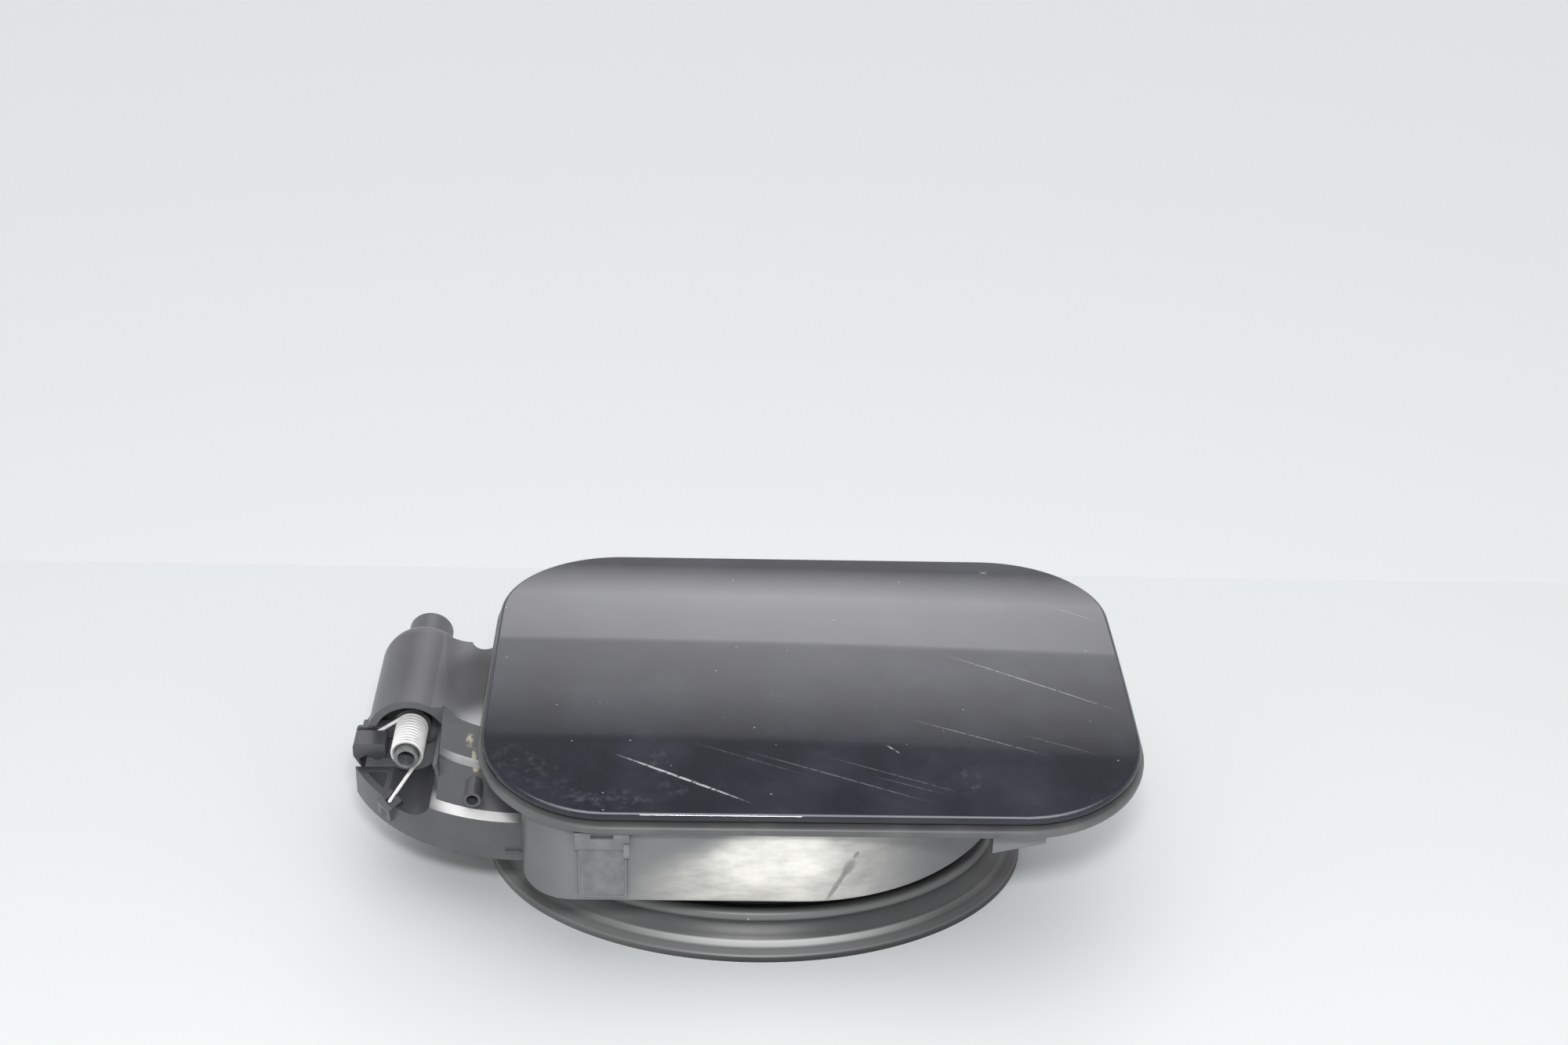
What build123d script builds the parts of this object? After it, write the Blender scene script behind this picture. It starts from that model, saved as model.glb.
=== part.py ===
from build123d import *
import os
from math import cos, radians, sin

# Fuel door of a car: a painted lid on a goose-neck hinge over a moulded filler pot.
# Millimetres. X runs from the hinge side to the lock side, Y from the front wall to the back, Z up.
# The part stands on its rubber boot at Z = 0, and X = Y = 0 is the middle of its box.

# Lid
lid_x = 21.5
lid_length = 205.0
lid_depth = 151.0
lid_corner = 40.0
lid_top = 65.0
crown_radius = 900.0
skin_thickness = 1.7
skin_edge_radius = 1.3
panel_thickness = 1.4
panel_inset = 0.6
panel_edge_radius = 0.5
rib_inset = 5.0
rib_width = 2.0
rib_height = 3.0
lid_gap = 0.9

# Soft lip and the flange that it grips
seal_overhang = 1.3
seal_width = 8.5
seal_lip = 0.8
flange_thickness = 1.3
flange_inset = 0.2

# Pot, set in from the lid's four sides; only a short flat is left between the wide corners at the lock
hinge_margin = 13.5
lock_margin = 36.5
front_margin = 3.5
back_margin = 5.5
bowl_left = lid_x - lid_length / 2 + hinge_margin
bowl_right = lid_x + lid_length / 2 - lock_margin
bowl_front = -lid_depth / 2 + front_margin
bowl_back = lid_depth / 2 - back_margin
bowl_hinge_corner = 16.0
bowl_lock_flat = 2.0
bowl_lock_corner = (bowl_back - bowl_front - bowl_lock_flat) / 2
bowl_bottom = 26.0
bowl_edge_radius = 2.0
wall = 2.5

# Hinge axis, parallel to Y
hinge_outset = 26.0
hinge_drop = 22.0
hinge_x = lid_x - lid_length / 2 - hinge_outset
hinge_z = lid_top - hinge_drop
shaft_radius = 3.75
shaft_bore = 2.75
running_clearance = 0.05
shaft_front = -22.0
shaft_back = 47.0
bush_radius = 5.5
barrel_radius = 14.0
barrel_front = 1.5
barrel_back = 43.0
hood_front = -10.5
hood_rise = 4.5
barrel_end_radius = 11.5
stub_radius = 7.5
stub_back = 54.0
collar_recess_radius = 11.5
collar_recess_depth = 2.0

# Goose-neck arm and the pocket that it swings in
arm_front = 10.0
arm_width = 12.0
arm_thickness = 5.0
arm_clearance = 1.0
arm_leg_angle = -64.0
arm_heel_angle = -68.0
hub_radius = 8.0
plate_thickness = 3.0
plate_length = 44.0
plate_width = 44.0
plate_root = 19.0
gusset_height = 13.0
pocket_gap = 2.0
pocket_wall = 2.0

# Neck and skirt in front of the pocket
neck_top = lid_top - 10.0
neck_lean = 22.0
neck_rib = 0.8
neck_left = hinge_x + 11.0
valley_x = hinge_x + 16.5
valley_radius = 14.0
valley_depth = 0.8
valley_tilt = 4.0
gusset_sweep = 10.0
ledge = hinge_z - 4.5
skirt_bottom = ledge - 14.5
skirt_x = bowl_left - 1.2
skirt_y = 12.8
skirt_radius = 62.0
skirt_back = -14.0
ledge_width = 5.0
cup_radius = 10.2
cup_lip = 1.3
cup_front = -31.0
cup_rise = 4.0
guard_radius = 11.3
guard_thickness = 1.5
guard_drop = 6.0
cup_left_rim = hinge_z - 9.0
wing = 4.3
wing_shoulder = hinge_z - 7.0
wing_bottom = skirt_bottom - 8.0
boss_radius = 2.8
boss_bore = 1.85
boss_length = 5.0
boss_offset = 23.0
boss_x = hinge_x + boss_offset
boss_z = ledge + 4.2
boss_front = -43.5
fin_right = bowl_left - 1.3
fin_length = 4.9
fin_z = ledge - 11.2
fin_size = 0.8

# Torsion spring
wire = 1.2
coil_radius = 4.7
coil_turns = 10.0 + 185.0 / 360.0
coil_pitch = 1.5
coil_back = -4.2
coil_start_angle = 125.0

# Lever that takes the spring's moving leg
lever_front = coil_back + wire / 2 + 0.3
lever_back = barrel_front - 0.5
lever_nose = -13.0
lever_reach = 18.3
lever_end = 10.5
lever_top = hinge_z - 1.0
lever_drop = 12.0
lever_flank = 5.5
lever_taper = 3.7
break_drop = 5.2
# Points of the lever's broken edge: the share of the end's width, and the drop below the highest point
break_edge = [(0.19, 1.4), (0.43, 0.0), (0.55, 0.5), (0.67, 1.8), (0.8, 1.8), (0.9, 0.9), (1.1, 1.4)]
lever_hub = 6.0
lever_round = 1.2
leg_play = 0.2

# Hook on the skirt that takes the spring's fixed leg
hook_x = hinge_x - 4.3
hook_y = -32.6
hook_z = hinge_z - 9.0
hook_size = 5.8
hook_height = 7.0
hook_turn = 45.0
hook_tilt = 26.0
hook_rise = 0.4
socket_size = 2.0
socket_depth = 2.5
pedestal_drop = 2.5

# Boot, an oval about its own centre
boot_x = lid_x - 16.0
boot_y = -5.0
boot_long = 88.5
boot_short = 63.5
boot_lip = 2.0
boot_skin = 2.2
boot_bead_inset = 11.0
boot_bead_radius = 2.3
boot_bead_height = 10.0
boot_neck_long = 66.0
boot_neck_short = 46.0
boot_grip = 3.5
collar_bore = 33.0
collar_top = 20.0
collar_foot = 4.0

# Small pieces
screw_boss = 3.2
screw_head = 4.5
screw_head_height = 1.8
screw_shank = 1.2
screw_socket = 1.3
screw_seat_gap = 0.3
screw_bite = 0.4
buffer_radius = 5.0
buffer_gap = 0.3
buffer_outset = 19.0
buffer_inset = 31.5
striker_height = 18.0
striker_width = 35.0
striker_length = 11.0
striker_reach = wall + 13.0
tongue_width = 16.0
tongue_thickness = 5.0
lock_height = lid_top - 15.5
lock_bore = 4.0
eye_play = 0.6
tower_offset = 25.3
tower_x = bowl_left + tower_offset
tower_width = 15.0
tower_height = 25.8
tower_relief = 1.8
clip_frame_length = 16.4
clip_frame_height = 6.2
clip_frame_depth = 1.4
clip_frame_drop = 0.8
clip_slot_length = 6.8
clip_slot_height = 1.4
clip_slot_drop = 0.5
clip_nub_length = 1.8
clip_nub_height = 5.0
clip_nub_depth = 2.2
clip_nub_drop = 3.4
clip_tongue_width = 13.2
clip_tongue_length = 17.4
clip_tongue_depth = 0.6
lug_x = bowl_right - 12.0
lug_length = 16.0
lug_front = bowl_front + 1.5
lug_depth = 12.0
lug_low = lid_top - 20.0
lug_slope = 4.0

# Depths below the lid's crowned outside
panel_under = skin_thickness + panel_thickness
seal_top = panel_under + lid_gap
flange_top = seal_top + seal_lip
flange_under = flange_top + flange_thickness
seal_under = flange_under + seal_lip

# The arm passes outside the soft lip's corner at the pocket, with its clearance
lip_reach = lid_x - lid_length / 2 + flange_inset - hinge_x
lip_rise = lid_top - seal_top - hinge_z
arm_inner = (lip_reach**2 + lip_rise**2) ** 0.5 + arm_clearance
arm_outer = arm_inner + arm_thickness
arm_back = arm_front + arm_width
pocket_front = arm_front - pocket_gap
pocket_back = arm_back + pocket_gap
pocket_reach = arm_outer + arm_clearance
coil_length = coil_turns * coil_pitch
coil_front = coil_back - coil_length

# Screws of the arm plate and of the striker, in plan
plate_left = hinge_x + arm_inner
plate_middle = arm_front + arm_width / 2
arm_screw_places = [
    (plate_left + plate_length * 0.55, plate_middle - plate_width * 0.36),
    (plate_left + plate_length * 0.55, plate_middle + plate_width * 0.36),
    (plate_left + plate_length - 6.0, plate_middle),
]
striker_x = bowl_right - striker_reach
striker_screw_y = striker_width / 2 - screw_head
striker_screw_places = [(striker_x, -striker_screw_y), (striker_x, striker_screw_y)]
buffer_x = bowl_right + buffer_outset
buffer_y = lid_depth / 2 - buffer_inset
buffer_places = [(buffer_x, -buffer_y), (buffer_x, buffer_y)]


def block(x0, x1, y0, y1, z0, z1):
    """A box between two corners."""
    middle = Pos((x0 + x1) / 2, (y0 + y1) / 2, (z0 + z1) / 2)
    return middle * Box(x1 - x0, y1 - y0, z1 - z0)


def rod_y(x, z, radius, y0, y1):
    """A round bar along Y."""
    return Pos(x, (y0 + y1) / 2, z) * Rot(90, 0, 0) * Cylinder(radius, y1 - y0)


def rod_z(x, y, radius, z0, z1):
    """A round bar along Z."""
    return Pos(x, y, (z0 + z1) / 2) * Cylinder(radius, z1 - z0)


def rod_x(y, z, radius, x0, x1):
    """A round bar along X."""
    return Pos((x0 + x1) / 2, y, z) * Rot(0, 90, 0) * Cylinder(radius, x1 - x0)


def bar_between(start, end, radius):
    """A round bar from one point to another, with ball ends."""
    run = Vector(*end) - Vector(*start)
    section = Plane(origin=start, z_dir=run) * Circle(radius)
    return extrude(section, run.length) + Pos(*start) * Sphere(radius) + Pos(*end) * Sphere(radius)


def crown_height(y, depth):
    """Height of the crowned layer that lies this deep under the lid's outside."""
    return lid_top - crown_radius + ((crown_radius - depth) ** 2 - y**2) ** 0.5


def under_crown(depth):
    """Everything lower than the crowned layer at this depth."""
    centre = Pos(lid_x, 0, lid_top - crown_radius)
    return centre * Rot(0, 90, 0) * Cylinder(crown_radius - depth, 2 * lid_length)


def crown_layer(outline, top, bottom):
    """A plan outline, as a plate that follows the lid's crown."""
    prism = extrude(outline, lid_top)
    return (prism & under_crown(top)) - under_crown(bottom)


def lid_outline(grow):
    length = lid_length + 2 * grow
    depth = lid_depth + 2 * grow
    return Pos(lid_x, 0) * RectangleRounded(length, depth, lid_corner + grow)


def bowl_outline(inset):
    """The pot in plan: tight corners at the hinge, wide ones at the lock."""
    length = bowl_right - bowl_left - 2 * inset
    depth = bowl_back - bowl_front - 2 * inset
    middle = Pos((bowl_left + bowl_right) / 2, (bowl_front + bowl_back) / 2)
    outline = middle * Rectangle(length, depth)
    outline = fillet(outline.vertices().group_by(Axis.X)[0], bowl_hinge_corner - inset)
    return fillet(outline.vertices().group_by(Axis.X)[-1], bowl_lock_corner - inset)


def oval(inset, z):
    """The boot's oval, drawn in by an even amount."""
    return Pos(boot_x, boot_y, z) * Ellipse(boot_long - inset, boot_short - inset)


def neck_oval(grow, z):
    """The oval of the boot's neck, where it goes through the pot's floor."""
    return Pos(boot_x, boot_y, z) * Ellipse(boot_neck_long + grow, boot_neck_short + grow)


def hinge_point(radius, angle):
    """X and Z of a point about the hinge axis, the angle counted from +X towards +Z."""
    turn = radians(angle)
    return hinge_x + radius * cos(turn), hinge_z + radius * sin(turn)


def profile_y(points, y0, y1):
    """A closed XZ polygon, drawn out along Y."""
    corners = [(x, y0, z) for x, z in points]
    return extrude(make_face(Polyline(*corners, close=True)), y1 - y0, dir=(0, 1, 0))


def make_lid_skin():
    skin = crown_layer(lid_outline(0), 0, skin_thickness)
    rims = skin.faces().sort_by(Axis.Z)[-1].edges()
    return fillet(rims, skin_edge_radius)


def make_lid_inner_panel():
    panel = crown_layer(lid_outline(-panel_inset), skin_thickness, panel_under)
    crowned = panel.faces().filter_by(GeomType.CYLINDER).sort_by(SortBy.AREA)[-2:]
    panel = fillet(crowned.sort_by(Axis.Z)[0].edges(), panel_edge_radius)
    # A stiffening rib inside the pot's wall, left out where the arm and the striker sit
    rib_plan = bowl_outline(wall + rib_inset) - bowl_outline(wall + rib_inset + rib_width)
    rib_plan -= Pos(plate_left, plate_middle) * Rectangle(2 * plate_length, plate_width + 2)
    rib_plan -= Pos(striker_x, 0) * Rectangle(2 * striker_reach, striker_width + 2)
    panel += crown_layer(rib_plan, panel_under, panel_under + rib_height)
    for x, y in arm_screw_places + striker_screw_places:
        panel += crown_layer(Pos(x, y) * Circle(screw_boss), panel_under, panel_under + plate_thickness)
        z = crown_height(y, panel_under)
        panel -= rod_z(x, y, screw_shank, z - 2 * plate_thickness, z + screw_bite)
    return panel


def make_hinge_arm():
    # The arc about the hinge axis, from the leg to the riser
    sweep_ring = rod_y(hinge_x, hinge_z, arm_outer, arm_front, arm_back)
    sweep_ring -= rod_y(hinge_x, hinge_z, arm_inner, arm_front, arm_back)
    far = 2 * arm_outer
    fan = [(hinge_x, hinge_z)] + [hinge_point(far, arm_heel_angle * share) for share in (1, 0.5, 0)]
    arm = sweep_ring & profile_y(fan, arm_front, arm_back)
    # The leg from the hub, and the riser up to the plate
    leg_middle = (arm_inner + arm_outer) / 2
    x, z = hinge_point(leg_middle / 2, arm_leg_angle)
    leg = Pos(x, plate_middle, z) * Rot(0, -arm_leg_angle, 0) * Box(leg_middle, arm_width, arm_thickness)
    riser = block(plate_left, plate_left + arm_thickness, arm_front, arm_back, hinge_z, lid_top)
    plate_plan = Pos(plate_left + plate_root / 2, plate_middle) * Rectangle(plate_root, arm_width)
    wide_length = plate_length - plate_root + arm_thickness
    wide = Pos(plate_left + plate_length - wide_length / 2, plate_middle)
    plate_plan += wide * RectangleRounded(wide_length, plate_width, arm_thickness)
    plate = crown_layer(plate_plan, panel_under, panel_under + plate_thickness)
    inside = plate_left + arm_thickness / 2
    gusset_top = lid_top - panel_under
    gusset_foot = gusset_top - plate_thickness - gusset_height
    gusset_plan = [(inside, gusset_foot), (inside + gusset_height, gusset_top), (inside, gusset_top)]
    gusset = profile_y(gusset_plan, plate_middle - arm_thickness / 2, plate_middle + arm_thickness / 2)
    hub = rod_y(hinge_x, hinge_z, hub_radius, arm_front, arm_back)
    arm += leg + hub + ((riser + gusset) & under_crown(panel_under)) + plate
    arm -= rod_y(hinge_x, hinge_z, shaft_radius, arm_front, arm_back)
    for x, y in arm_screw_places:
        arm -= rod_z(x, y, screw_boss, hinge_z, lid_top)
    return arm


def make_screw(x, y):
    """A pan-head screw up into a boss of the lid's inner panel."""
    seat = crown_height(y, panel_under + plate_thickness) - screw_seat_gap
    head = rod_z(x, y, screw_head, seat - screw_head_height, seat)
    head = fillet(head.faces().sort_by(Axis.Z)[0].edges(), screw_head_height / 2)
    shank = rod_z(x, y, screw_shank, seat, seat + plate_thickness)
    socket = rod_z(x, y, screw_socket, seat - screw_head_height, seat - screw_head_height / 2)
    return head + shank - socket


def make_hinge_shaft():
    shaft = rod_y(hinge_x, hinge_z, shaft_radius, shaft_front, shaft_back)
    return shaft - rod_y(hinge_x, hinge_z, shaft_bore, shaft_front, shaft_back)


def make_hinge_bush(front, back):
    bush = rod_y(hinge_x, hinge_z, bush_radius, front, back)
    return bush - rod_y(hinge_x, hinge_z, shaft_radius + running_clearance, front, back)


def make_shaft_clip():
    ring = rod_y(hinge_x, hinge_z, bush_radius - 0.4, barrel_back + 0.6, barrel_back + 1.6)
    return ring - rod_y(hinge_x, hinge_z, shaft_radius, barrel_back, barrel_back + 2)


def make_spring_lever():
    hub = rod_y(hinge_x, hinge_z, lever_hub, lever_front, lever_back)
    left = hinge_x - lever_reach
    right = left + lever_end
    low = hinge_z - lever_drop
    flank = left + lever_taper
    arm = block(left + 2, hinge_x, lever_front, lever_back, hinge_z - lever_hub + 1, lever_top)
    end_plan = [
        (left, lever_top),
        (left, hinge_z - lever_flank),
        (flank, low),
        (right, low),
        (right, lever_top),
    ]
    end = profile_y(end_plan, lever_nose, lever_front + 1.3)
    end = fillet(end.edges().filter_by(Axis.Y).group_by(Axis.Z)[-1], lever_round)
    lever = hub + arm + end
    lever -= rod_y(hinge_x, hinge_z, shaft_radius, lever_front, lever_back)
    # The slot that takes the spring's leg
    slot = wire / 2 + leg_play
    lever -= block(left - 1, right + 1, coil_back - slot, coil_back + slot, low + 2, hinge_z + 3)
    # The end's front has broken away below a ragged edge, and shows its hollow
    ragged = [(left + share * lever_end, hinge_z - break_drop - drop) for share, drop in break_edge]
    break_plan = [(flank, low - 1)] + ragged + [(ragged[-1][0], low - 1)]
    return lever - profile_y(break_plan, lever_nose - 1, coil_back - slot)


def fixed_leg_bar(radius):
    """The spring's fixed leg, from the coil's front end to the hook."""
    x, z = hinge_point(coil_radius, coil_start_angle - 360 * coil_turns)
    return bar_between((x, coil_front, z), (hook_x, hook_y, hook_z), radius)


def make_torsion_spring():
    path = Helix(coil_pitch, coil_length, coil_radius, lefthand=True)
    section = Plane(origin=path @ 0, z_dir=path % 0) * Circle(wire / 2)
    coil = sweep(section, path=path, is_frenet=True)
    coil = Pos(hinge_x, coil_back, hinge_z) * Rot(90, 0, 0) * Rot(0, 0, coil_start_angle) * coil
    x, z = hinge_point(coil_radius, coil_start_angle)
    lean = radians(coil_start_angle)
    reach = lever_reach - lever_end / 2
    moving_end = (x - reach * sin(lean), coil_back, z + reach * cos(lean))
    moving_leg = bar_between((x, coil_back, z), moving_end, wire / 2)
    # A bead of coating joins each leg, which leaves the coil without a bend
    beads = Pos(x, coil_back, z) * Sphere(0.55 * wire)
    x, z = hinge_point(coil_radius, coil_start_angle - 360 * coil_turns)
    beads += Pos(x, coil_front, z) * Sphere(0.55 * wire)
    return coil + beads + moving_leg + fixed_leg_bar(wire / 2)


def skirt_drum(inset, z0, z1):
    """The skirt's sweep: part of an upright drum round the pot's hinge side."""
    drum = rod_z(skirt_x, skirt_y, skirt_radius - inset, z0, z1)
    right = bowl_left + wall - inset
    return drum & block(skirt_x - skirt_radius, right, -2 * skirt_radius, skirt_back - inset, z0, z1)


def make_skirt():
    skirt = skirt_drum(0, skirt_bottom, ledge) - skirt_drum(wall, skirt_bottom - 1, ledge - wall)
    # The round opening before the spring, with a thin lip
    front = -skirt_radius
    lip = rod_y(hinge_x, hinge_z, cup_radius + cup_lip, front, skirt_back)
    right = hinge_x + cup_radius + cup_lip
    lip_room = skirt_drum(wall, skirt_bottom, ledge)
    lip_room += block(hinge_x, right, cup_front, skirt_back, ledge - wall, hinge_z + cup_rise)
    skirt += lip & lip_room
    skirt -= rod_y(hinge_x, hinge_z, cup_radius, front, skirt_back + 1)
    # Left of the opening the rim lies lower, clear of the lever
    return skirt - block(skirt_x - skirt_radius, hinge_x, front, skirt_back + 1, cup_left_rim, lid_top)


def neck_cone(inset):
    """The leaning wall over the ledge, which follows the skirt's sweep."""
    foot = skirt_radius - ledge_width - inset
    height = neck_top - inset - ledge
    cone = Pos(skirt_x, skirt_y, ledge + height / 2) * Cone(foot, foot - neck_lean, height)
    return cone + rod_z(skirt_x, skirt_y, foot, skirt_bottom - inset, ledge)


def neck_valley(grow):
    """The shallow trough in the neck's roof, which deepens away from the front."""
    middle = Pos(valley_x, 0, neck_top + valley_radius - valley_depth)
    return middle * Rot(90 - valley_tilt, 0, 0) * Cylinder(valley_radius + grow, 8 * valley_radius)


def make_neck():
    back = pocket_back + pocket_wall
    front = -skirt_radius
    right = bowl_left + wall
    neck = neck_cone(0) & block(neck_left, right, front, back, skirt_bottom, neck_top)
    hollow = block(neck_left + wall, bowl_left, front, pocket_front - pocket_wall, 0, neck_top)
    neck -= neck_cone(wall) & hollow
    # The roof's run on to the barrel
    neck += block(hinge_x + barrel_radius / 2, neck_left, hood_front, back, hinge_z, neck_top)
    # The rib halfway up the leaning wall
    middle = skirt_radius - ledge_width - neck_lean / 2
    rib = Pos(skirt_x, skirt_y, (ledge + neck_top) / 2) * Cylinder(middle + neck_rib, 1.5 * neck_rib)
    neck += rib & block(neck_left, bowl_left, front, 0, skirt_bottom, neck_top)
    # The hollow sweep from the barrel to the neck's back wall
    gusset_right = lid_x - lid_length / 2
    gusset = block(hinge_x, gusset_right, back, back + gusset_sweep - wall, hinge_z - hub_radius, neck_top)
    gusset -= rod_z(gusset_right, back + gusset_sweep, gusset_sweep, 0, lid_top)
    return neck + gusset - neck_valley(0)


def make_hood():
    """The barrel's arch over the spring's back end, and the wing behind the lever."""
    arch = rod_y(hinge_x, hinge_z, barrel_radius, hood_front, barrel_front)
    left = hinge_x - barrel_radius
    right = neck_left + wall
    hood = arch & block(left, right, hood_front, barrel_front, hinge_z + hood_rise, neck_top + barrel_radius)
    wing_plan = [
        (left, hinge_z),
        (left - wing, wing_shoulder),
        (left - wing, wing_bottom),
        (right, wing_bottom),
        (right, hinge_z),
    ]
    return hood + profile_y(wing_plan, barrel_front, barrel_front + wall)


def pocket_plan(grow):
    """The pocket's section across the hinge axis: it follows the swing of the arm."""
    left = hinge_x - barrel_radius + pocket_wall - grow
    floor = hinge_z + (arm_outer + 1.5 * arm_clearance) * sin(radians(arm_heel_angle)) - grow
    reach = pocket_reach + grow
    low_x = hinge_x + (reach**2 - (hinge_z - floor) ** 2) ** 0.5
    high_z = bowl_bottom + wall
    high_x = hinge_x + (reach**2 - (hinge_z - high_z) ** 2) ** 0.5
    swing = ThreePointArc(
        (low_x, 0, floor), (hinge_point(reach, -40)[0], 0, hinge_point(reach, -40)[1]), (high_x, 0, high_z)
    )
    rest = Polyline(
        (high_x, 0, high_z),
        (bowl_left + wall + 1, 0, high_z),
        (bowl_left + wall + 1, 0, neck_top - pocket_wall + grow),
        (left, 0, neck_top - pocket_wall + grow),
        (left, 0, hinge_z - 8),
        (hinge_x - 1 - grow, 0, floor),
        (low_x, 0, floor),
    )
    return make_face(Curve() + [swing, rest])


def make_housing():
    # Pot, flange and the barrel of the hinge
    pot = extrude(Pos(0, 0, bowl_bottom) * bowl_outline(0), lid_top - bowl_bottom)
    pot = fillet(pot.faces().sort_by(Axis.Z)[0].edges(), bowl_edge_radius) & under_crown(flange_top)
    housing = pot + crown_layer(lid_outline(-flange_inset), flange_top, flange_under)
    barrel = rod_y(hinge_x, hinge_z, barrel_radius, barrel_front, barrel_back)
    barrel = fillet(barrel.faces().sort_by(Axis.Y)[-1].edges(), barrel_end_radius)
    pocket = extrude(Pos(0, pocket_front - pocket_wall, 0) * pocket_plan(pocket_wall),
                     pocket_back - pocket_front + 2 * pocket_wall, dir=(0, 1, 0))
    left = hinge_x - 2 * barrel_radius
    pocket -= block(left, hinge_x, pocket_front - pocket_wall, pocket_back + pocket_wall, hinge_z, lid_top)
    pocket -= neck_valley(0)
    stub = rod_y(hinge_x, hinge_z, stub_radius, barrel_back - barrel_end_radius, stub_back)
    housing += pocket + barrel + stub
    housing += make_neck() + make_hood() + make_skirt()
    # The space in the pot, and in the pocket with its mouth under the lid
    housing -= extrude(Pos(0, 0, bowl_bottom + wall) * bowl_outline(wall), lid_top)
    pocket_depth = pocket_back - pocket_front
    swing_room = extrude(Pos(0, pocket_front, 0) * pocket_plan(0), pocket_depth, dir=(0, 1, 0))
    swing_room -= block(left, hinge_x, pocket_front, pocket_back, hinge_z, neck_top)
    swing_room -= neck_valley(pocket_wall)
    swing_room += rod_y(hinge_x, hinge_z, barrel_radius - pocket_wall, pocket_front, pocket_back)
    mouth_left = lid_x - lid_length / 2 + flange_inset
    mouth_right = bowl_left + wall + 1
    swing_room += block(mouth_left, mouth_right, pocket_front, pocket_back, bowl_bottom + wall, lid_top)
    housing -= swing_room
    # Bearings, the collar's recess and the open stub
    housing -= rod_y(hinge_x, hinge_z, bush_radius, barrel_front - 5, stub_back + 1)
    housing -= rod_y(hinge_x, hinge_z, collar_recess_radius, hood_front, barrel_front + collar_recess_depth)
    # The oval hole in the floor for the boot
    housing -= extrude(neck_oval(0, bowl_bottom - 1), wall + 2)
    housing += make_pot_details()
    housing -= fixed_leg_bar(wire / 2 + leg_play)
    for x, y in buffer_places:
        housing -= rod_z(x, y, 2.0, hinge_z, lid_top)
    housing -= rod_x(0, lock_height, lock_bore + 1.5, bowl_right - 2 * wall, bowl_right + wall)
    return housing - rod_y(boss_x, boss_z, boss_bore, boss_front - 1, boss_front + boss_length)


def make_pot_details():
    # The open boss over the ledge
    details = rod_y(boss_x, boss_z, boss_radius, boss_front, boss_front + boss_length + 4)
    # The hook for the spring's fixed leg: turned with the skirt's sweep, its top leaning forward
    seat = Pos(hook_x, hook_y, hook_z + hook_rise) * Rot(hook_tilt, 0, 0) * Rot(0, 0, hook_turn)
    hook = seat * Pos(0, 0, -hook_height / 2) * Box(hook_size, hook_size, hook_height)
    half = hook_size / 2
    hook_back = hook_y + 1.5 * hook_size
    hook += block(hook_x - half, hook_x + half, hook_y, hook_back, skirt_bottom + 4, hook_z - pedestal_drop)
    hook -= seat * Box(socket_size, socket_size, 2 * socket_depth)
    details += hook
    # The ribbed guard beside the coil
    guard_back = barrel_front + collar_recess_depth
    guard = rod_y(hinge_x, hinge_z, guard_radius, coil_front, guard_back)
    guard -= rod_y(hinge_x, hinge_z, guard_radius - guard_thickness, coil_front, guard_back)
    right = hinge_x + guard_radius
    details += guard & block(hinge_x, right, coil_front, guard_back, hinge_z - guard_drop, hinge_z + 3)
    # The short fin low on the skirt
    skirt_front = skirt_y - skirt_radius
    fin_top = fin_z + fin_size
    fin_left = fin_right - fin_length
    details += block(fin_left, fin_right, skirt_front - fin_size, skirt_front + wall, fin_z, fin_top)
    # Clip towers on the front and back walls
    for wall_face, out in ((bowl_front, -1), (bowl_back, 1)):
        edge = wall_face + out * tower_relief
        low, high = sorted((wall_face - out, edge))
        top = crown_height(edge, seal_under)
        half = tower_width / 2
        tower = block(tower_x - half, tower_x + half, low, high, top - tower_height, top)
        details += fillet(tower.edges().filter_by(Axis.Z), 0.8)
    # The lug under the flange at the lock side, clear of the soft lip
    lug_right = lug_x + lug_length
    lug_back = lug_front + lug_depth
    lug_sides = [(lug_x, lug_low), (lug_right, lug_low + lug_slope), (lug_right, lid_top), (lug_x, lid_top)]
    lug = profile_y(lug_sides, lug_front, lug_back) & under_crown(flange_top)
    details += lug - crown_layer(lid_outline(seal_overhang), flange_under, seal_under)
    lug_root = Pos(lug_x + lug_length / 2, lug_back - wall) * Rectangle(lug_length, 2 * wall)
    details += crown_layer(lug_root, flange_top, seal_under)
    # The boss of the lock bush
    return details + rod_x(0, lock_height, lock_bore + 4, bowl_right - wall, bowl_right + wall)


def make_rim_seal():
    outside = lid_outline(seal_overhang)
    ring = outside - lid_outline(seal_overhang - seal_width)
    seal = crown_layer(ring, seal_top, seal_under)
    seal -= crown_layer(lid_outline(-flange_inset), flange_top, flange_under)
    seal -= crown_layer(bowl_outline(0), flange_top, seal_under)
    mouth_left = lid_x - lid_length / 2 + flange_inset
    mouth_right = bowl_left + wall + 1
    return seal - block(mouth_left, mouth_right, pocket_front, pocket_back, bowl_bottom, lid_top)


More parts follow.
